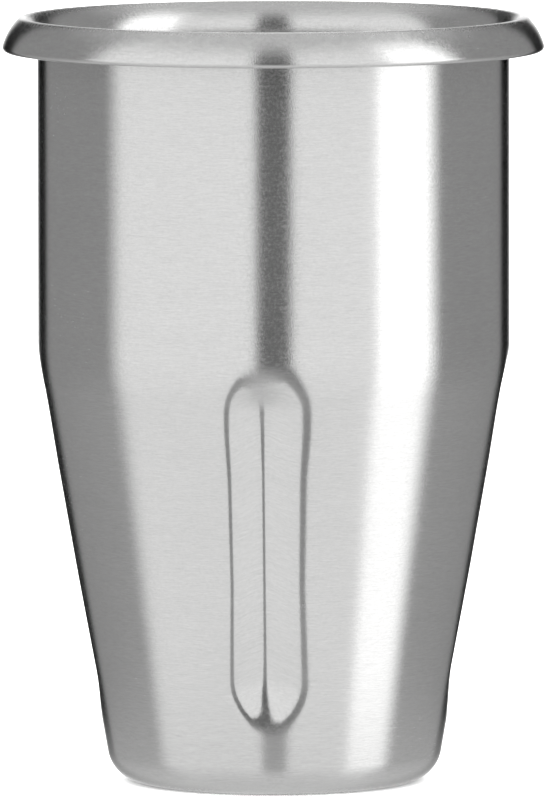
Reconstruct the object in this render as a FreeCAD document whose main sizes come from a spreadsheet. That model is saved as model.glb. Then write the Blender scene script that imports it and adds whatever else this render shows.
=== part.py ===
import FreeCAD, Part
import math
import os
import Sketcher

# A drink mixer's cup, drawn from one stainless sheet. Millimetres, +Z up, origin at the middle of
# the base. The sheet is written out as four zones that meet face to face: the base, the tapered
# wall with its pressed dents, the straight upper wall and the rolled rim.

SIZES = {
    "sheet": 0.8,
    "body_radius": 50.0,
    "taper_angle": 10.0,
    "knee_height": 89.0,
    "knee_bend": 53.0,
    "corner_bend": 7.6,
    "hollow_radius": 24.0,
    "hollow_step": 1.5,
    "hollow_ease": 0.2,
    "hollow_depth": 0.8,
    "base_top": 8.0,
    "taper_top": 102.0,
    "wall_top": 153.5,
    "dent_count": 4.0,
    "dent_depth": 2.65,
    "dent_bend": 5.5,
    "dent_flank": 22.0,
    "dent_reach": 9.0,
    "dent_lip": 8.0,
    "dent_low": 22.0,
    "dent_high": 82.0,
    "dent_low_run_out": 12.0,
    "dent_high_run_out": 22.0,
    "run_out_angle": 70.0,
    "flare_bend": 8.2,
    "crest_bend": 1.4,
    "crest_radius": 53.1,
    "cup_height": 162.4,
    "skirt_angle": 30.0,
    "skirt_length": 5.9,
    "roll_bend": 1.0,
    "roll_turn": 120.0,
    "hem_length": 5.5,
}

doc = FreeCAD.newDocument("mixing_cup")
sizes = doc.addObject("Spreadsheet::Sheet", "Sizes")
for row, (alias, value) in enumerate(SIZES.items(), start=1):
    sizes.set(f"A{row}", alias)
    sizes.set(f"B{row}", str(value))
    sizes.setAlias(f"B{row}", alias)
doc.recompute()

ORIGIN = (-1, 1)
LINE_START, LINE_END, ARC_CENTRE = 1, 2, 3
SLOPE = math.radians(SIZES["taper_angle"])
SLOPE_TEXT = "(Sizes.taper_angle * 1deg)"


def origin_plane(body, role):
    return [item for item in body.Origin.OriginFeatures if item.Role == role][0]


def new_sketch(body, name):
    """A sketch in the body's XZ plane, so its x is the radius and its y the height."""
    sketch = body.newObject("Sketcher::SketchObject", name)
    sketch.AttachmentSupport = [(origin_plane(body, "XZ_Plane"), "")]
    sketch.MapMode = "FlatFace"
    doc.recompute()
    return sketch


def add_line(sketch, start, end):
    segment = Part.LineSegment(FreeCAD.Vector(*start, 0), FreeCAD.Vector(*end, 0))
    return sketch.addGeometry(segment, False)


def add_arc(sketch, centre, bend, first_angle, last_angle):
    """An arc that runs anticlockwise between two angles in degrees."""
    circle = Part.Circle(FreeCAD.Vector(*centre, 0), FreeCAD.Vector(0, 0, 1), bend)
    arc = Part.ArcOfCircle(circle, math.radians(first_angle), math.radians(last_angle))
    return sketch.addGeometry(arc, False)


def bind(sketch, name, expression, kind, *items):
    """Adds a dimension and ties it to the sizes sheet."""
    index = sketch.addConstraint(Sketcher.Constraint(kind, *items))
    sketch.renameConstraint(index, name)
    sketch.setExpression(f"Constraints.{name}", expression)


def draw_polygon(sketch, corners):
    """A closed outline. Each corner is its radius and height, then the same two as expressions."""
    count = len(corners)
    for number in range(count):
        add_line(sketch, corners[number][:2], corners[(number + 1) % count][:2])
    for number in range(count):
        following = (number + 1) % count
        joint = Sketcher.Constraint("Coincident", number, LINE_END, following, LINE_START)
        sketch.addConstraint(joint)
    for number, (radius, height, radius_text, height_text) in enumerate(corners):
        place = (*ORIGIN, number, LINE_START)
        if radius == 0:
            sketch.addConstraint(Sketcher.Constraint("PointOnObject", number, LINE_START, -2))
        else:
            bind(sketch, f"radius{number}", radius_text, "DistanceX", *place, radius)
        if height == 0:
            sketch.addConstraint(Sketcher.Constraint("PointOnObject", number, LINE_START, -1))
        else:
            bind(sketch, f"height{number}", height_text, "DistanceY", *place, height)


def revolve(body, sketch):
    turned = body.newObject("PartDesign::Revolution", body.Name + "_turned")
    turned.Profile = sketch
    turned.ReferenceAxis = (sketch, ["V_Axis"])
    turned.Angle = 360.0
    body.Tip = turned
    doc.recompute()
    return turned


def round_edges(body, feature, wanted, expression):
    """Rounds the feature's edges that wanted(edge) picks."""
    picked = [f"Edge{n}" for n, edge in enumerate(feature.Shape.Edges, start=1) if wanted(edge)]
    rounded = body.newObject("PartDesign::Fillet", body.Name + "_bend")
    rounded.Base = (feature, picked)
    rounded.setExpression("Radius", expression)
    body.Tip = rounded
    doc.recompute()
    return rounded


def is_ring(edge, radius, height):
    """True for a full circle about the axis with this radius and height."""
    box = edge.BoundBox
    flat = box.ZLength < 1e-3 and abs(box.ZMax - height) < 1e-3
    return flat and abs(box.XMax - radius) < 1e-3 and abs(box.XMin + radius) < 1e-3


def slope_radius(height, inset):
    """The taper's radius at a height, on its outer face (inset 0) or its inner face (inset 1)."""
    outer = SIZES["body_radius"] - (SIZES["knee_height"] - height) * math.tan(SLOPE)
    return outer - inset * SIZES["sheet"] / math.cos(SLOPE)


def slope_radius_text(height_text, inset):
    """slope_radius as an expression on the sizes sheet."""
    outer = f"Sizes.body_radius - (Sizes.knee_height - {height_text}) * tan{SLOPE_TEXT}"
    return f"{outer} - {inset} * Sizes.sheet / cos{SLOPE_TEXT}"


def build_base():
    """The flat base with its shallow hollow and the rounded corner up to the taper."""
    sheet = SIZES["sheet"]
    hollow = SIZES["hollow_radius"]
    depth = SIZES["hollow_depth"]
    step = SIZES["hollow_step"]
    ease = SIZES["hollow_ease"]
    top = SIZES["base_top"]
    corners = [
        (0, depth, "", "Sizes.hollow_depth"),
        (hollow - step, depth, "Sizes.hollow_radius - Sizes.hollow_step", "Sizes.hollow_depth"),
        (hollow, 0, "Sizes.hollow_radius", ""),
        (slope_radius(0, 0), 0, slope_radius_text("0", 0), ""),
        (slope_radius(top, 0), top, slope_radius_text("Sizes.base_top", 0), "Sizes.base_top"),
        (slope_radius(top, 1), top, slope_radius_text("Sizes.base_top", 1), "Sizes.base_top"),
        (slope_radius(sheet, 1), sheet, slope_radius_text("Sizes.sheet", 1), "Sizes.sheet"),
        (hollow + ease, sheet, "Sizes.hollow_radius + Sizes.hollow_ease", "Sizes.sheet"),
        (hollow - step + ease, depth + sheet,
         "Sizes.hollow_radius - Sizes.hollow_step + Sizes.hollow_ease",
         "Sizes.hollow_depth + Sizes.sheet"),
        (0, depth + sheet, "", "Sizes.hollow_depth + Sizes.sheet"),
    ]
    body = doc.addObject("PartDesign::Body", "base")
    sketch = new_sketch(body, "base_section")
    draw_polygon(sketch, corners)
    turned = revolve(body, sketch)
    outer = round_edges(body, turned, lambda edge: is_ring(edge, slope_radius(0, 0), 0),
                        "Sizes.corner_bend")
    round_edges(body, outer, lambda edge: is_ring(edge, slope_radius(sheet, 1), sheet),
                "Sizes.corner_bend - Sizes.sheet")
    return body


def build_upper_wall():
    """The straight wall between the taper and the rim."""
    outer = SIZES["body_radius"]
    inner = outer - SIZES["sheet"]
    inner_text = "Sizes.body_radius - Sizes.sheet"
    corners = [
        (inner, SIZES["taper_top"], inner_text, "Sizes.taper_top"),
        (outer, SIZES["taper_top"], "Sizes.body_radius", "Sizes.taper_top"),
        (outer, SIZES["wall_top"], "Sizes.body_radius", "Sizes.wall_top"),
        (inner, SIZES["wall_top"], inner_text, "Sizes.wall_top"),
    ]
    body = doc.addObject("PartDesign::Body", "upper_wall")
    sketch = new_sketch(body, "upper_wall_section")
    draw_polygon(sketch, corners)
    revolve(body, sketch)
    return body


def along_taper(height, offset):
    """The point at an offset out from the taper's outer face, square to it, at a height."""
    radius = slope_radius(height, 0) + offset * math.cos(SLOPE)
    return radius, height - offset * math.sin(SLOPE)


def draw_dent_spine(body, name):
    """The line along a dent's bottom: straight beside the taper, curving out at both ends."""
    depth = SIZES["dent_depth"]
    low_bend = SIZES["dent_low_run_out"]
    high_bend = SIZES["dent_high_run_out"]
    turn = SIZES["run_out_angle"]
    inward = 180 - SIZES["taper_angle"]
    low_centre = along_taper(SIZES["dent_low"], low_bend - depth)
    high_centre = along_taper(SIZES["dent_high"], high_bend - depth)
    low_end = along_taper(SIZES["dent_low"], -depth)
    high_end = along_taper(SIZES["dent_high"], -depth)
    sketch = new_sketch(body, name)
    low = add_arc(sketch, low_centre, low_bend, inward, inward + turn)
    straight = add_line(sketch, low_end, high_end)
    high = add_arc(sketch, high_centre, high_bend, inward - turn, inward)
    sketch.addConstraint(Sketcher.Constraint("Tangent", low, 1, straight, LINE_START))
    sketch.addConstraint(Sketcher.Constraint("Tangent", high, 2, straight, LINE_END))
    bind(sketch, "low_bend", "Sizes.dent_low_run_out", "Radius", low, low_bend)
    bind(sketch, "high_bend", "Sizes.dent_high_run_out", "Radius", high, high_bend)
    doc.recompute()
    return sketch


def draw_dent_section(body, name, inset):
    """A dent's section, a rounded vee open outwards, square to the spine's lower end."""
    flank = math.radians(SIZES["dent_flank"])
    bend = SIZES["dent_bend"]
    grown_bend = bend + inset * SIZES["sheet"]
    reach = SIZES["dent_reach"]
    side = grown_bend * math.sin(flank)
    side_height = bend - grown_bend * math.cos(flank)
    top_side = side + (reach - side_height) / math.tan(flank)
    flank_angle = SIZES["dent_flank"]
    sketch = body.newObject("Sketcher::SketchObject", name)
    arc = add_arc(sketch, (0, bend), grown_bend, 270 - flank_angle, 270 + flank_angle)
    right = add_line(sketch, (side, side_height), (top_side, reach))
    top = add_line(sketch, (top_side, reach), (-top_side, reach))
    left = add_line(sketch, (-top_side, reach), (-side, side_height))
    sketch.addConstraint(Sketcher.Constraint("Tangent", arc, 2, right, LINE_START))
    sketch.addConstraint(Sketcher.Constraint("Coincident", right, LINE_END, top, LINE_START))
    sketch.addConstraint(Sketcher.Constraint("Coincident", top, LINE_END, left, LINE_START))
    sketch.addConstraint(Sketcher.Constraint("Tangent", left, LINE_END, arc, 1))
    sketch.addConstraint(Sketcher.Constraint("Horizontal", top))
    bend_text = f"Sizes.dent_bend + {inset} * Sizes.sheet"
    bind(sketch, "bend", bend_text, "Radius", arc, grown_bend)
    sketch.addConstraint(Sketcher.Constraint("PointOnObject", arc, ARC_CENTRE, -2))
    bind(sketch, "bend_height", "Sizes.dent_bend", "DistanceY", *ORIGIN, arc, ARC_CENTRE, bend)
    bind(sketch, "reach", "Sizes.dent_reach", "DistanceY", *ORIGIN, right, LINE_END, reach)
    bind(sketch, "right_flank", "Sizes.dent_flank * 1deg", "Angle", right, flank)
    bind(sketch, "left_flank", "-Sizes.dent_flank * 1deg", "Angle", left, -flank)
    return sketch


def stand_on_spine(section):
    """Sets the section square to the spine at its lower end, with its y towards the outside."""
    turn = SIZES["run_out_angle"]
    bend = SIZES["dent_low_run_out"]
    centre = along_taper(SIZES["dent_low"], bend - SIZES["dent_depth"])
    angle = math.radians(180 - SIZES["taper_angle"] + turn)
    inward = FreeCAD.Vector(math.cos(angle), 0, math.sin(angle))
    start = FreeCAD.Vector(centre[0], 0, centre[1]) + inward * bend
    across = FreeCAD.Vector(0, 1, 0)
    outward = inward * -1
    section.Placement = FreeCAD.Placement(
        start, FreeCAD.Rotation(across, outward, across.cross(outward), "ZXY"))
    doc.recompute()


def press_dents(body, plain, inset):
    """Takes the dents out of the plain form and rounds their lips."""
    spine = draw_dent_spine(body, body.Name + "_spine")
    section = draw_dent_section(body, body.Name + "_dent_section", inset)
    stand_on_spine(section)
    dent = body.newObject("PartDesign::SubtractivePipe", body.Name + "_dent")
    dent.Profile = section
    dent.Spine = (spine, [])
    body.Tip = dent
    doc.recompute()
    ring = body.newObject("PartDesign::PolarPattern", body.Name + "_dents")
    ring.Originals = [dent]
    ring.Axis = (origin_plane(body, "Z_Axis"), [""])
    ring.Angle = 360
    ring.setExpression("Occurrences", "Sizes.dent_count")
    body.Tip = ring
    doc.recompute()
    skin = plain.Shape.Shells[0]
    curved = (Part.Line, Part.Circle)

    def is_lip(edge):
        if isinstance(edge.Curve, curved):
            return False
        middle = edge.valueAt((edge.FirstParameter + edge.LastParameter) / 2)
        return skin.distToShape(Part.Vertex(middle))[0] < 1e-3

    round_edges(body, ring, is_lip, f"Sizes.dent_lip - {inset} * Sizes.sheet")


def build_taper_form(name, inset):
    """The solid inside the tapered wall's outer face (inset 0) or inner face (inset 1)."""
    low = SIZES["base_top"]
    high = SIZES["taper_top"]
    radius = SIZES["body_radius"] - inset * SIZES["sheet"]
    knee = SIZES["knee_height"] + inset * SIZES["sheet"] * math.tan(SLOPE / 2)
    radius_text = f"Sizes.body_radius - {inset} * Sizes.sheet"
    knee_text = f"Sizes.knee_height + {inset} * Sizes.sheet * tan({SLOPE_TEXT} / 2)"
    low_text = slope_radius_text("Sizes.base_top", inset)
    corners = [
        (0, low, "", "Sizes.base_top"),
        (slope_radius(low, inset), low, low_text, "Sizes.base_top"),
        (radius, knee, radius_text, knee_text),
        (radius, high, radius_text, "Sizes.taper_top"),
        (0, high, "", "Sizes.taper_top"),
    ]
    body = doc.addObject("PartDesign::Body", name)
    sketch = new_sketch(body, name + "_section")
    draw_polygon(sketch, corners)
    turned = revolve(body, sketch)
    plain = round_edges(body, turned, lambda edge: is_ring(edge, radius, knee),
                        f"Sizes.knee_bend - {inset} * Sizes.sheet")
    press_dents(body, plain, inset)
    return body


def build_tapered_wall():
    """The tapered wall with its pressed dents, the same thickness all over."""
    wall = doc.addObject("Part::Cut", "tapered_wall")
    wall.Base = build_taper_form("taper_outside", 0)
    wall.Tool = build_taper_form("taper_inside", 1)
    doc.recompute()
    return wall


def build_rolled_rim():
    """The flared mouth, the crest, the slanted skirt and the edge rolled in under it."""
    inner = SIZES["body_radius"] - SIZES["sheet"]
    flare = SIZES["flare_bend"]
    crest = SIZES["crest_bend"]
    roll = SIZES["roll_bend"]
    skirt_angle = SIZES["skirt_angle"]
    crest_centre = (SIZES["crest_radius"], SIZES["cup_height"] - crest)
    across = inner + flare - crest_centre[0]
    drop = math.sqrt((flare - crest) ** 2 - across ** 2)
    flare_centre = (inner + flare, crest_centre[1] - drop)
    flare_end = 180 - math.degrees(math.atan2(drop, across))
    skirt = math.radians(skirt_angle)
    crest_end = (crest_centre[0] + crest * math.cos(skirt), crest_centre[1] + crest * math.sin(skirt))
    length = SIZES["skirt_length"]
    skirt_end = (crest_end[0] + length * math.sin(skirt), crest_end[1] - length * math.cos(skirt))
    roll_centre = (skirt_end[0] - roll * math.cos(skirt), skirt_end[1] - roll * math.sin(skirt))
    roll_angle = skirt_angle - SIZES["roll_turn"]
    last = math.radians(roll_angle)
    roll_end = (roll_centre[0] + roll * math.cos(last), roll_centre[1] + roll * math.sin(last))
    hem = SIZES["hem_length"]
    hem_end = (roll_end[0] + hem * math.sin(last), roll_end[1] - hem * math.cos(last))

    sketch = doc.addObject("Sketcher::SketchObject", "rim_line")
    sketch.Placement = FreeCAD.Placement(
        FreeCAD.Vector(0, 0, 0), FreeCAD.Rotation(FreeCAD.Vector(1, 0, 0), 90))
    wall = add_line(sketch, (inner, SIZES["wall_top"]), (inner, flare_centre[1]))
    flared = add_arc(sketch, flare_centre, flare, flare_end, 180)
    top = add_arc(sketch, crest_centre, crest, skirt_angle, flare_end)
    slant = add_line(sketch, crest_end, skirt_end)
    rolled = add_arc(sketch, roll_centre, roll, roll_angle, skirt_angle)
    hemmed = add_line(sketch, roll_end, hem_end)
    for first, first_end, second, second_end in (
        (wall, LINE_END, flared, 2),
        (flared, 1, top, 2),
        (top, 1, slant, LINE_START),
        (slant, LINE_END, rolled, 2),
        (rolled, 1, hemmed, LINE_START),
    ):
        joint = Sketcher.Constraint("Tangent", first, first_end, second, second_end)
        sketch.addConstraint(joint)
    sketch.addConstraint(Sketcher.Constraint("Vertical", wall))
    start = (*ORIGIN, wall, LINE_START)
    bind(sketch, "inner_radius", "Sizes.body_radius - Sizes.sheet", "DistanceX", *start, inner)
    bind(sketch, "wall_top", "Sizes.wall_top", "DistanceY", *start, SIZES["wall_top"])
    bind(sketch, "flare_bend", "Sizes.flare_bend", "Radius", flared, flare)
    bind(sketch, "crest_bend", "Sizes.crest_bend", "Radius", top, crest)
    bind(sketch, "roll_bend", "Sizes.roll_bend", "Radius", rolled, roll)
    centre = (*ORIGIN, top, ARC_CENTRE)
    bind(sketch, "crest_radius", "Sizes.crest_radius", "DistanceX", *centre, crest_centre[0])
    bind(sketch, "crest_height", "Sizes.cup_height - Sizes.crest_bend", "DistanceY", *centre,
         crest_centre[1])
    bind(sketch, "skirt_length", "Sizes.skirt_length", "Distance", slant, length)
    bind(sketch, "hem_length", "Sizes.hem_length", "Distance", hemmed, hem)
    bind(sketch, "skirt_angle", "(Sizes.skirt_angle - 90) * 1deg", "Angle", slant,
         skirt - math.pi / 2)
    bind(sketch, "roll_turn", "-Sizes.roll_turn * 1deg", "Angle", slant, hemmed,
         -math.radians(SIZES["roll_turn"]))
    doc.recompute()

    section = doc.addObject("Part::Offset2D", "rim_section")
    section.Source = sketch
    section.Mode = "Skin"
    section.Join = "Intersection"
    section.Fill = True
    section.setExpression("Value", "-Sizes.sheet")
    doc.recompute()
    rim = doc.addObject("Part::Revolution", "rolled_rim")
    rim.Source = section
    rim.Axis = FreeCAD.Vector(0, 0, 1)
    rim.Base = FreeCAD.Vector(0, 0, 0)
    rim.Angle = 360.0
    rim.Solid = True
    doc.recompute()
    return rim


def check_document():
    for item in doc.Objects:
        if "Invalid" in item.State or "Error" in item.State:
            raise RuntimeError(f"{item.Name} did not build: {item.State}")


def write_parts(pieces):
    os.makedirs("parts", exist_ok=True)
    for piece in pieces:
        if piece.Shape.isNull() or not piece.Shape.isValid():
            raise RuntimeError(f"{piece.Label} has no valid shape")
        piece.Shape.exportStep(f"parts/{piece.Label}.step")


pieces = [build_base(), build_tapered_wall(), build_upper_wall(), build_rolled_rim()]
for piece in pieces:
    piece.Placement = FreeCAD.Placement()
doc.recompute()
check_document()
write_parts(pieces)
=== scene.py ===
import math

import bpy
import numpy as np
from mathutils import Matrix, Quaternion, Vector


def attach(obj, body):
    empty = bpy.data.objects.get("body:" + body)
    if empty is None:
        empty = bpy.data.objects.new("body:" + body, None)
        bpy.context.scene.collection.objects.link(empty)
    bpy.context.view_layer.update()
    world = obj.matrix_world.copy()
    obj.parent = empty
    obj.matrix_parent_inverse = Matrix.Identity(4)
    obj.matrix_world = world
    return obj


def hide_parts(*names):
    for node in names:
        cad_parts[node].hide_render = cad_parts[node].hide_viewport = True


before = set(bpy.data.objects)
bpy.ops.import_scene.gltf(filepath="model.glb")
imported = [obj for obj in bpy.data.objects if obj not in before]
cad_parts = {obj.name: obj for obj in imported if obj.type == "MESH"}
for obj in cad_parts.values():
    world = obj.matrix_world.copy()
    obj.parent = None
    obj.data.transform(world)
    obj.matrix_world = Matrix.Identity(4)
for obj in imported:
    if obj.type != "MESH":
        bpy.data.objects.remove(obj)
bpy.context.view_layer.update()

# The cup's sizes, in metres and radians: the same ones as in the CAD model, but for the skirt's bow
# and the dents' changing section.
SHEET = 0.0008
BODY_RADIUS = 0.050
TAPER = math.radians(10)
KNEE_HEIGHT = 0.089
KNEE_BEND = 0.053
CORNER_BEND = 0.0076
HOLLOW_RADIUS = 0.024
HOLLOW_STEP = 0.0015
HOLLOW_DEPTH = 0.0008
HOLLOW_BEND = 0.0012
BASE_TOP = 0.008
TAPER_TOP = 0.102
WALL_TOP = 0.1535
CUP_HEIGHT = 0.1624
FLARE_BEND = 0.0082
CREST_BEND = 0.0014
CREST_RADIUS = 0.0531
SKIRT_ANGLE = math.radians(30)
SKIRT_LENGTH = 0.0059
SKIRT_BOW = math.radians(14)
ROLL_BEND = 0.0010
HEM_LENGTH = 0.0055

# A dent is a rounded valley with straight flanks. It fades out over its ends, and its section
# changes with height. Each row is a height, the depth there, the bend along the bottom and the
# softness of the lips.
DENT_SHAPE = (
    (0.0145, 0.0002, 0.0085, 0.0028),
    (0.0165, 0.0006, 0.0085, 0.0030),
    (0.0185, 0.0013, 0.0085, 0.0032),
    (0.0205, 0.0021, 0.0080, 0.0033),
    (0.0230, 0.00278, 0.0063, 0.0032),
    (0.0275, 0.00295, 0.0044, 0.0028),
    (0.0450, 0.00285, 0.0036, 0.0021),
    (0.0680, 0.00292, 0.0038, 0.0024),
    (0.0783, 0.0030, 0.0055, 0.0033),
    (0.0848, 0.0027, 0.0080, 0.0036),
    (0.0903, 0.0014, 0.0150, 0.0036),
)
DENT_HEIGHTS, DENT_DEPTHS, DENT_BENDS, DENT_LIPS = zip(*DENT_SHAPE)
DENT_EASE = 0.0018
DENT_LOW_END = 0.0127
DENT_LOW = 0.0190
DENT_HIGH = 0.0818
DENT_HIGH_END = 0.0933
DENT_FLANK = math.radians(22)
QUARTER = math.pi / 2

# The right lip of a dent is softer than the left one.
LIP_SHARE = 0.88
LIP_DIFFERENCE = 0.25
LIP_CHANGE = 0.002


def ring_angles():
    """Angles round the cup: close together across each dent and wider between the dents."""
    dent_reach, fine_step, growth, coarse_count = 17, 0.5, 1.15, 14
    fine = np.arange(0, dent_reach + fine_step / 2, fine_step)
    steps = fine_step * growth ** np.arange(1, coarse_count + 1)
    coarse = dent_reach + np.cumsum(steps) * (45 - dent_reach) / steps.sum()
    half = np.concatenate([fine, coarse])
    quarter = np.concatenate([-half[:0:-1], half[:-1]])
    return np.radians(np.concatenate([quarter + 90 * turn for turn in range(4)]))


ANGLES = ring_angles()


def slope_radius(height):
    """Outer radius of the plain taper at a height."""
    return BODY_RADIUS - (KNEE_HEIGHT - height) * math.tan(TAPER)


def wall_radius(height):
    """Outer radius of the taper, the knee and the start of the straight wall, without dents."""
    reach = KNEE_BEND * math.tan(TAPER / 2)
    knee_end = KNEE_HEIGHT + reach
    knee_start = KNEE_HEIGHT - reach * math.cos(TAPER)
    below = np.clip(knee_end - height, 0, KNEE_BEND)
    bent = BODY_RADIUS - KNEE_BEND + np.sqrt(KNEE_BEND ** 2 - below ** 2)
    return np.where(height < knee_start, slope_radius(height), bent)


def dent_section(across, bend):
    """Height of a dent's section over its lowest line: a rounded valley with straight flanks."""
    side = bend * math.sin(DENT_FLANK)
    rise = bend * (1 - math.cos(DENT_FLANK))
    off = np.abs(across)
    valley = bend - np.sqrt(bend ** 2 - np.minimum(off, side) ** 2)
    return np.where(off < side, valley, rise + (off - side) * math.tan(DENT_FLANK))


def smooth_step(value, start, end):
    """0 before the start, 1 after the end and a smooth ramp between."""
    share = np.clip((value - start) / (end - start), 0, 1)
    return share ** 2 * (3 - 2 * share)


def along_dent(height, values):
    """One column of the dents' shape at a height, eased between its rows."""
    offsets = np.linspace(-DENT_EASE, DENT_EASE, 9)
    return np.mean([np.interp(height + offset, DENT_HEIGHTS, values) for offset in offsets], axis=0)


def dented_point(angle, height):
    """Points of the outer face of the tapered wall, pressed in at the dents, with soft lips."""
    radius = wall_radius(height)
    turn = np.round(angle / QUARTER) * QUARTER
    plain = -radius * (1 - np.cos(angle - turn))
    across = radius * np.sin(angle - turn)
    pressed = dent_section(across, along_dent(height, DENT_BENDS)) - along_dent(height, DENT_DEPTHS)
    lip = along_dent(height, DENT_LIPS)
    lip = lip * (LIP_SHARE + LIP_DIFFERENCE * np.tanh(across / LIP_CHANGE))
    nearness = np.clip(1 - np.abs(pressed - plain) / lip, 0, 1)
    shift = np.minimum(plain, pressed) - lip / 6 * nearness ** 3 - plain
    shift = shift * smooth_step(height, DENT_LOW_END, DENT_LOW)
    shift = shift * smooth_step(height, DENT_HIGH_END, DENT_HIGH)
    x = radius * np.cos(angle) + shift * math.cos(TAPER) * np.cos(turn)
    y = radius * np.sin(angle) + shift * math.cos(TAPER) * np.sin(turn)
    return np.stack([x, y, height - shift * math.sin(TAPER)], axis=-1)


def dented_grid(heights):
    """Points and normals of the tapered wall's outer face."""
    height, angle = np.meshgrid(heights, ANGLES, indexing="ij")
    small = 2e-5  # a step in radians and in metres, to take slopes over
    around = dented_point(angle + small, height) - dented_point(angle - small, height)
    upward = dented_point(angle, height + small) - dented_point(angle, height - small)
    normal = np.cross(around, upward)
    normal /= np.linalg.norm(normal, axis=-1, keepdims=True)
    return dented_point(angle, height), normal


def rounded(corners, bends, side, bend_step=0.0003, run_step=0.003):
    """A run of straight lines with its corners rounded: points, and normals to one side of it."""
    points, normals = [], []

    def add(point, direction):
        if not points or np.linalg.norm(point - points[-1]) > 1e-7:
            points.append(point)
            normals.append(side * np.array([direction[1], -direction[0]]))

    corners = [np.array(corner, float) for corner in corners]
    position = corners[0]
    for number, corner in enumerate(corners[1:], start=1):
        direction = (corner - position) / np.linalg.norm(corner - position)
        last = number == len(corners) - 1
        if last:
            stop, turn = corner, 0
        else:
            following = corners[number + 1] - corner
            following /= np.linalg.norm(following)
            cross = direction[0] * following[1] - direction[1] * following[0]
            turn = math.atan2(cross, float(direction @ following))
            bend = bends[number - 1]
            reach = bend * math.tan(abs(turn) / 2)
            stop = corner - direction * reach
        count = max(1, math.ceil(np.linalg.norm(stop - position) / run_step))
        for share in np.linspace(0, 1, count + 1):
            add(position + (stop - position) * share, direction)
        if last:
            break
        way = math.copysign(1, turn)
        centre = stop + bend * way * np.array([-direction[1], direction[0]])
        heading = math.atan2(direction[1], direction[0])
        count = max(6, math.ceil(abs(turn) * bend / bend_step))
        for share in np.linspace(0, 1, count + 1)[1:]:
            angle = heading + turn * share
            forward = np.array([math.cos(angle), math.sin(angle)])
            add(centre + bend * way * np.array([forward[1], -forward[0]]), forward)
        position = points[-1]
    return np.array(points), np.array(normals)


def downward(angle):
    """The way down and out at an angle from upright."""
    return np.array([math.sin(angle), -math.cos(angle)])


def outward(angle):
    """The way out, square to the way down at the same angle."""
    return np.array([math.cos(angle), math.sin(angle)])


def base_outline():
    """The base's outer face, from the axis across the hollow and round the corner."""
    return rounded(
        [(0, HOLLOW_DEPTH), (HOLLOW_RADIUS - HOLLOW_STEP, HOLLOW_DEPTH), (HOLLOW_RADIUS, 0),
         (slope_radius(0), 0), (slope_radius(BASE_TOP), BASE_TOP)],
        [HOLLOW_BEND, HOLLOW_BEND, CORNER_BEND], side=1)


def rim_outline():
    """The rim's face towards the drink, over the crest, down the skirt and back under it."""
    inner_radius = BODY_RADIUS - SHEET
    across = inner_radius + FLARE_BEND - CREST_RADIUS
    drop = math.sqrt((FLARE_BEND - CREST_BEND) ** 2 - across ** 2)
    flare_angle = math.atan2(drop, across)
    flare_reach = FLARE_BEND * math.tan(flare_angle / 2)
    flare_way = np.array([math.sin(flare_angle), math.cos(flare_angle)])
    flare_corner = np.array([inner_radius, CUP_HEIGHT - CREST_BEND - drop + flare_reach])

    # The skirt is an arc from the crest to the roll, bowed outwards from a straight line.
    top_angle = SKIRT_ANGLE + SKIRT_BOW
    foot_angle = SKIRT_ANGLE - SKIRT_BOW
    crest_reach = CREST_BEND * math.tan((math.pi - flare_angle - top_angle) / 2)
    crest_corner = flare_corner + flare_way * (flare_reach + crest_reach)
    crest_centre = np.array([CREST_RADIUS, CUP_HEIGHT - CREST_BEND])
    roll_centre = (crest_centre + (CREST_BEND - ROLL_BEND) * outward(SKIRT_ANGLE)
                   + SKIRT_LENGTH * downward(SKIRT_ANGLE))
    skirt_start = crest_centre + CREST_BEND * outward(top_angle)
    skirt_end = roll_centre + ROLL_BEND * outward(foot_angle)
    skirt_bend = np.linalg.norm(skirt_end - skirt_start) / (2 * math.sin(SKIRT_BOW))
    skirt_corner = skirt_start + skirt_bend * math.tan(SKIRT_BOW) * downward(top_angle)

    # The hem runs level, back towards the wall.
    roll_turn = QUARTER + foot_angle
    roll_reach = ROLL_BEND * math.tan(roll_turn / 2)
    roll_corner = skirt_end + roll_reach * downward(foot_angle)
    hem_end = roll_corner - np.array([roll_reach + HEM_LENGTH, 0])
    return rounded(
        [(inner_radius, WALL_TOP), flare_corner, crest_corner, skirt_corner, roll_corner, hem_end],
        [FLARE_BEND, CREST_BEND, skirt_bend, ROLL_BEND], side=-1, bend_step=0.0002)


def spun_grid(outline):
    """Points and normals of an outline turned round the cup's axis."""
    points, normals = outline
    grids = []
    for pair in (points, normals):
        x = pair[:, :1] * np.cos(ANGLES)
        y = pair[:, :1] * np.sin(ANGLES)
        z = np.repeat(pair[:, 1:], len(ANGLES), axis=1)
        grids.append(np.stack([x, y, z], axis=-1))
    return grids


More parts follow.
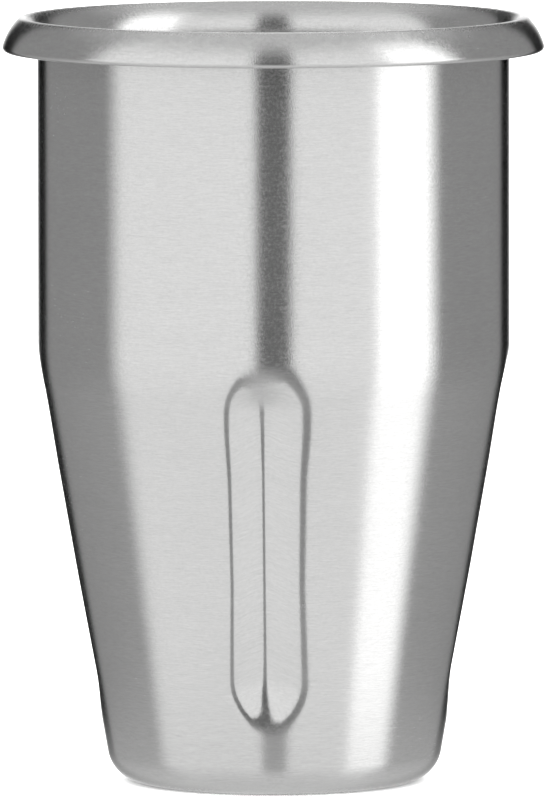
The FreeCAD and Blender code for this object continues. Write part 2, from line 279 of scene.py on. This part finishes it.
def sheet_mesh(name, grid):
    """A closed skin of sheet: one face from the grid, the other a sheet's thickness behind it."""
    front, normal = grid
    back = (front - SHEET * normal)[::-1]
    points = np.concatenate([front, back])
    normals = np.concatenate([normal, -normal[::-1]])
    rows, count = points.shape[:2]

    # A row on the axis is a single point.
    on_axis = np.linalg.norm(points[:, 0, :2] - points[:, count // 2, :2], axis=-1) < 1e-6
    index = np.zeros((rows, count), int)
    verts = []
    for row in range(rows):
        if on_axis[row]:
            index[row] = len(verts)
            verts.append(points[row, 0])
        else:
            index[row] = len(verts) + np.arange(count)
            verts.extend(points[row])

    # The faces run round the whole section, and all of them face out of the sheet. The two strips
    # that close its edges are flat, and the others take the grid's smooth normals.
    around = front[-1, 1] - front[-1, 0]
    along = front[-1, 0] - front[-2, 0]
    facing_in = np.cross(around, along) @ normal[-1, 0] < 0
    meets_axis = on_axis[0] and on_axis[-1]
    faces, loops = [], []
    for row in range(rows - 1 if meets_axis else rows):
        above = (row + 1) % rows
        cut_edge = row in (rows // 2 - 1, rows - 1)
        for column in range(count):
            beside = (column + 1) % count
            places = [(row, column), (row, beside), (above, beside), (above, column)]
            if facing_in:
                places.reverse()
            kept = []
            for place in places:
                if index[place] not in [index[other] for other in kept]:
                    kept.append(place)
            faces.append([int(index[place]) for place in kept])
            if cut_edge:
                a, b, c = (points[place] for place in kept[:3])
                flat = np.cross(b - a, c - b)
                flat /= max(np.linalg.norm(flat), 1e-12)
                loops.extend([flat] * len(kept))
            else:
                loops.extend(normals[place] for place in kept)

    mesh = bpy.data.meshes.new(name)
    mesh.from_pydata([tuple(point) for point in verts], [], faces)
    mesh.polygons.foreach_set("use_smooth", [True] * len(faces))
    mesh.normals_split_custom_set([tuple(vector) for vector in loops])
    return mesh


def sheet_piece(name, grid, node, material):
    """A piece of the sheet, in place of its node."""
    mesh = sheet_mesh(name, grid)
    mesh.materials.append(material)
    piece = bpy.data.objects.new(name, mesh)
    bpy.context.scene.collection.objects.link(piece)
    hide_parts(node)
    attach(piece, "root")
    return piece


def add_node(tree, kind, sources=(), values=(), **settings):
    """A shader node with its settings, its linked inputs and its plain values."""
    node = tree.nodes.new(kind)
    for name, setting in settings.items():
        setattr(node, name, setting)
    for name, source in dict(sources).items():
        tree.links.new(source, node.inputs[name])
    for name, value in dict(values).items():
        node.inputs[name].default_value = value
    return node


def math_node(tree, operation, first, second=None):
    """The output of one sum, with numbers or other outputs going in."""
    node = tree.nodes.new("ShaderNodeMath")
    node.operation = operation
    for place, item in enumerate((first, second)):
        if isinstance(item, (int, float)):
            node.inputs[place].default_value = item
        elif item is not None:
            tree.links.new(item, node.inputs[place])
    return node.outputs["Value"]


def mapped(tree, source, low, high, to_low, to_high):
    """A value moved from one range to another, held at the ends."""
    node = add_node(tree, "ShaderNodeMapRange", {"Value": source}, {
        "From Min": low, "From Max": high, "To Min": to_low, "To Max": to_high})
    return node.outputs["Result"]


# The steel's marks. A streak runs round the cup: its length and width, in metres, and its detail.
# The rest are noises with no direction, and their scales count marks to the metre.
GRAIN = (0.0028, 0.00029, 3)
FLECK = (0.0008, 0.00030, 1)
BAND = (0.030, 0.0022, 2)
SCRATCH = (0.004, 0.00018, 1)
SMUDGE = {"Scale": 38.0, "Detail": 3.0, "Roughness": 0.55}
SPOT = {"Scale": 1700.0, "Detail": 1.0, "Roughness": 0.5}
SPECK = {"Scale": 4000.0, "Detail": 1.0, "Roughness": 0.5}

# The part of a noise's range that its marks are spread over.
WIDE_SWING = (0.25, 0.75)
SOFT_SWING = (0.30, 0.70)


def brushed_steel():
    """Satin steel, brushed round the cup: fine rings in its colour, roughness and relief."""
    material = bpy.data.materials.new("brushed_steel")
    material.use_nodes = True
    tree = material.node_tree
    shader = tree.nodes["Principled BSDF"]
    shader.inputs["Metallic"].default_value = 1.0
    shader.inputs["Anisotropic"].default_value = 0.95
    shader.inputs["Anisotropic Rotation"].default_value = 0.25
    tangent = add_node(tree, "ShaderNodeTangent", direction_type="RADIAL", axis="Z")
    tree.links.new(tangent.outputs["Tangent"], shader.inputs["Tangent"])

    place = add_node(tree, "ShaderNodeTexCoord").outputs["Object"]
    split = add_node(tree, "ShaderNodeSeparateXYZ", {"Vector": place}).outputs
    radius = math_node(tree, "SQRT", math_node(
        tree, "ADD", math_node(tree, "MULTIPLY", split["X"], split["X"]),
        math_node(tree, "MULTIPLY", split["Y"], split["Y"])))
    ring = math_node(tree, "ADD", split["Z"], radius)

    def streaks(length, width, detail):
        """Streaks that run round the cup, about one length long and one width wide."""
        vector = add_node(tree, "ShaderNodeCombineXYZ", {
            "X": math_node(tree, "DIVIDE", split["X"], length),
            "Y": math_node(tree, "DIVIDE", split["Y"], length),
            "Z": math_node(tree, "DIVIDE", ring, width)}).outputs["Vector"]
        noise = add_node(tree, "ShaderNodeTexNoise", {"Vector": vector},
                         {"Scale": 1.0, "Detail": detail, "Roughness": 0.6})
        return noise.outputs["Fac"]

    def blotches(values):
        """Marks with no direction."""
        return add_node(tree, "ShaderNodeTexNoise", {"Vector": place}, values).outputs["Fac"]

    def total(*terms):
        """The sum of several values."""
        value = terms[0]
        for term in terms[1:]:
            value = math_node(tree, "ADD", value, term)
        return value

    grain = streaks(*GRAIN)
    fleck = streaks(*FLECK)
    band = streaks(*BAND)
    smudge = blotches(SMUDGE)
    scratch = mapped(tree, streaks(*SCRATCH), 0.66, 0.74, 0.0, 1.0)

    # The crest and the foot are worn where they touch other things.
    crest = mapped(tree, split["Z"], CUP_HEIGHT - 0.0010, CUP_HEIGHT - 0.0001, 0.0, 1.0)
    foot = mapped(tree, split["Z"], 0.0014, 0.0002, 0.0, 1.0)
    edge = math_node(tree, "MAXIMUM", crest, foot)
    wear = math_node(tree, "MULTIPLY", edge, mapped(tree, smudge, 0.40, 0.58, 0.25, 1.0))

    tone = total(
        mapped(tree, grain, *WIDE_SWING, 0.760, 0.840),
        mapped(tree, band, *SOFT_SWING, -0.008, 0.008),
        mapped(tree, smudge, *SOFT_SWING, -0.009, 0.009),
        mapped(tree, fleck, *WIDE_SWING, -0.022, 0.022),
        math_node(tree, "MULTIPLY", scratch, -0.05),
        math_node(tree, "MULTIPLY", wear, -0.06))
    colour = add_node(tree, "ShaderNodeCombineColor", {
        "Red": tone, "Green": tone, "Blue": math_node(tree, "MULTIPLY", tone, 0.994)})
    tree.links.new(colour.outputs["Color"], shader.inputs["Base Color"])

    rough = total(
        mapped(tree, grain, *WIDE_SWING, 0.155, 0.190),
        mapped(tree, smudge, *SOFT_SWING, -0.010, 0.014),
        math_node(tree, "MULTIPLY", wear, 0.10),
        mapped(tree, blotches(SPOT), 0.40, 0.65, 0.0, 0.08))
    tree.links.new(rough, shader.inputs["Roughness"])

    relief = total(grain, math_node(tree, "MULTIPLY", fleck, 0.6))
    bump = add_node(tree, "ShaderNodeBump", {"Height": relief},
                    {"Strength": 0.25, "Distance": 0.00004})
    bump = add_node(tree, "ShaderNodeBump",
                    {"Height": blotches(SPECK), "Normal": bump.outputs["Normal"]},
                    {"Strength": 0.25, "Distance": 0.00003})
    tree.links.new(bump.outputs["Normal"], shader.inputs["Normal"])
    return material


# The main view: a long lens, a little above the cup and a little to the right of one dent. The
# view's height is measured at the cup.
DISTANCE = 3.3927
VIEW_HEIGHT = 0.168787
VIEW_TURN = math.radians(2.75)
VIEW_RISE = math.radians(5.05)
AIM_HEIGHT = 0.0813
AIM_SIDE = -0.00031
ROLL = math.radians(0.1)
SENSOR = 36

TO_CAMERA = Vector((
    math.sin(VIEW_TURN) * math.cos(VIEW_RISE),
    -math.cos(VIEW_TURN) * math.cos(VIEW_RISE),
    math.sin(VIEW_RISE),
))


def add_camera():
    """The main view's camera."""
    data = bpy.data.cameras.new("camera")
    data.sensor_width = SENSOR
    data.lens = SENSOR * DISTANCE / VIEW_HEIGHT
    data.clip_start = 0.1
    data.clip_end = 100
    camera = bpy.data.objects.new("camera", data)
    bpy.context.scene.collection.objects.link(camera)
    right = Vector((math.cos(VIEW_TURN), math.sin(VIEW_TURN), 0))
    camera.location = Vector((0, 0, AIM_HEIGHT)) + right * AIM_SIDE + TO_CAMERA * DISTANCE
    camera.rotation_mode = "QUATERNION"
    level = (-TO_CAMERA).to_track_quat("-Z", "Y")
    camera.rotation_quaternion = level @ Quaternion((0, 0, 1), -ROLL)
    bpy.context.scene.camera = camera


# The studio: plain soft panels standing round the cup, alike on both sides but for one strip light.
# Each has the angles where it starts and ends, in degrees round from the camera, and its brightness.
SOFTBOX = 0.85
STRIP = 1.50
DIM = 0.25
BLACK = 0.0
BACKDROP = 1.10
CAMERA_GAP = 0.10
GAP_EDGE = 7
BEHIND = ((90, 145, DIM), (150, 165, BLACK), (175, 180, BACKDROP))
LEFT_PANELS = ((10, 80, SOFTBOX),) + BEHIND
RIGHT_PANELS = ((10, 50, SOFTBOX), (55, 80, STRIP)) + BEHIND

OVERHEAD = 0.50
UNDERNEATH = 0.60
FULL_LEVEL = 2.0
WHITE_LEVEL = 3.5

# The heights, in degrees above level, over which the floor's light goes over into the panels, and
# the panels into the light overhead.
UNDERNEATH_TO_PANELS = (-60, -10)
PANELS_TO_OVERHEAD = (35, 60)


def ring_levels():
    """Brightness by degrees round from the camera, positive to its right."""
    levels = []
    for start, end, level in reversed(LEFT_PANELS):
        levels += [(-end, level), (-start, level)]
    levels += [(-GAP_EDGE, CAMERA_GAP), (GAP_EDGE, CAMERA_GAP)]
    for start, end, level in RIGHT_PANELS:
        levels += [(start, level), (end, level)]
    return levels


def ring_of_light(tree, share, levels):
    """Brightness by the share of a turn round the cup."""
    ramp = add_node(tree, "ShaderNodeValToRGB", {"Fac": share})
    stops = ramp.color_ramp.elements
    stops[0].position = 0
    stops[1].position = 1
    while len(stops) < len(levels):
        stops.new(0.5)
    for stop, (degrees, level) in zip(stops, levels):
        stop.position = degrees / 360 + 0.5
        stop.color = [level / FULL_LEVEL] * 3 + [1]
    return ramp.outputs["Color"]


def blend(tree, share, first, second):
    """One colour going over into another."""
    node = tree.nodes.new("ShaderNodeMix")
    node.data_type = "RGBA"
    tree.links.new(share, node.inputs[0])
    for place, colour in ((6, first), (7, second)):
        if isinstance(colour, float):
            node.inputs[place].default_value = (colour, colour, colour, 1)
        else:
            tree.links.new(colour, node.inputs[place])
    return node.outputs[2]


def add_studio():
    """A white studio to look at, and the panels for the steel to mirror."""
    world = bpy.data.worlds.new("studio")
    world.use_nodes = True
    bpy.context.scene.world = world
    tree = world.node_tree
    tree.nodes.clear()
    place = add_node(tree, "ShaderNodeTexCoord").outputs["Generated"]
    turned = add_node(tree, "ShaderNodeVectorRotate", {"Vector": place},
                      {"Angle": math.pi / 2 - VIEW_TURN}, rotation_type="Z_AXIS")
    split = add_node(tree, "ShaderNodeSeparateXYZ", {"Vector": turned.outputs["Vector"]}).outputs
    angle = math_node(tree, "ARCTAN2", split["Y"], split["X"])
    share = mapped(tree, angle, -math.pi, math.pi, 0, 1)
    rise = math_node(tree, "ARCSINE", split["Z"])

    def rising(heights):
        """0 below the first height, 1 above the second and even between."""
        start, end = heights
        return mapped(tree, rise, math.radians(start), math.radians(end), 0, 1)

    light = blend(tree, rising(UNDERNEATH_TO_PANELS), UNDERNEATH / FULL_LEVEL,
                  ring_of_light(tree, share, ring_levels()))
    light = blend(tree, rising(PANELS_TO_OVERHEAD), light, OVERHEAD / FULL_LEVEL)
    around = add_node(tree, "ShaderNodeBackground", {"Color": light}, {"Strength": FULL_LEVEL})
    white = add_node(tree, "ShaderNodeBackground", values={
        "Color": (1, 1, 1, 1), "Strength": WHITE_LEVEL})
    rays = add_node(tree, "ShaderNodeLightPath")
    both = tree.nodes.new("ShaderNodeMixShader")
    tree.links.new(rays.outputs["Is Glossy Ray"], both.inputs[0])
    tree.links.new(white.outputs["Background"], both.inputs[1])
    tree.links.new(around.outputs["Background"], both.inputs[2])
    output = tree.nodes.new("ShaderNodeOutputWorld")
    tree.links.new(both.outputs["Shader"], output.inputs["Surface"])


def add_floor():
    """A pale floor under the cup."""
    reach = 3
    corners = [(-reach, -reach, 0), (reach, -reach, 0), (reach, reach, 0), (-reach, reach, 0)]
    mesh = bpy.data.meshes.new("floor")
    mesh.from_pydata(corners, [], [(0, 1, 2, 3)])
    material = bpy.data.materials.new("pale_floor")
    material.use_nodes = True
    shader = material.node_tree.nodes["Principled BSDF"]
    shader.inputs["Base Color"].default_value = (0.9, 0.9, 0.9, 1)
    shader.inputs["Roughness"].default_value = 1.0
    shader.inputs["Specular IOR Level"].default_value = 0.0
    mesh.materials.append(material)
    floor = bpy.data.objects.new("floor", mesh)
    bpy.context.scene.collection.objects.link(floor)
    floor.visible_glossy = False


# The table's own light: a disc just under the floor, which fades out from the foot of the cup.
SHEEN_RADIUS = 0.15
SHEEN_HEIGHT = -0.0005
SHEEN_START = 0.040
SHEEN_END = 0.110
SHEEN_SHARE = 0.45
SHEEN_SIDES = 72


def add_table_sheen():
    """The table's own light near the cup's foot, which only the steel mirrors."""
    mesh = bpy.data.meshes.new("table_sheen")
    turns = [2 * math.pi * side / SHEEN_SIDES for side in range(SHEEN_SIDES)]
    edge = [(SHEEN_RADIUS * math.cos(turn), SHEEN_RADIUS * math.sin(turn), SHEEN_HEIGHT)
            for turn in turns]
    mesh.from_pydata(edge, [], [list(range(SHEEN_SIDES))])
    material = bpy.data.materials.new("table_sheen")
    material.use_nodes = True
    tree = material.node_tree
    tree.nodes.clear()
    place = add_node(tree, "ShaderNodeTexCoord").outputs["Object"]
    distance = add_node(tree, "ShaderNodeVectorMath", {"Vector": place}, operation="LENGTH")
    share = mapped(tree, distance.outputs["Value"], SHEEN_START, SHEEN_END, SHEEN_SHARE, 0.0)
    glow = add_node(tree, "ShaderNodeEmission", values={
        "Color": (1, 1, 1, 1), "Strength": UNDERNEATH})
    clear = add_node(tree, "ShaderNodeBsdfTransparent")
    both = tree.nodes.new("ShaderNodeMixShader")
    tree.links.new(share, both.inputs[0])
    tree.links.new(clear.outputs["BSDF"], both.inputs[1])
    tree.links.new(glow.outputs["Emission"], both.inputs[2])
    output = tree.nodes.new("ShaderNodeOutputMaterial")
    tree.links.new(both.outputs["Shader"], output.inputs["Surface"])
    mesh.materials.append(material)
    sheen = bpy.data.objects.new("table_sheen", mesh)
    bpy.context.scene.collection.objects.link(sheen)
    sheen.visible_camera = False
    sheen.visible_diffuse = False
    sheen.visible_shadow = False


steel = brushed_steel()

sheet_piece("base_dish", spun_grid(base_outline()), "base", steel)

# The taper's rows are close together where the dents run out, and wider between.
run_out_end, run_out_start = 0.026, 0.076
taper_rows = np.concatenate([
    np.arange(BASE_TOP, run_out_end, 0.0005),
    np.arange(run_out_end, run_out_start, 0.002),
    np.linspace(run_out_start, TAPER_TOP, 53),
])
sheet_piece("dented_taper", dented_grid(taper_rows), "tapered_wall", steel)

wall_outline = rounded([(BODY_RADIUS, TAPER_TOP), (BODY_RADIUS, WALL_TOP)], [], side=1)
sheet_piece("straight_wall", spun_grid(wall_outline), "upper_wall", steel)

sheet_piece("rim_bead", spun_grid(rim_outline()), "rolled_rim", steel)

add_floor()
add_table_sheen()
add_studio()
add_camera()
bpy.context.scene.view_settings.view_transform = "Standard"
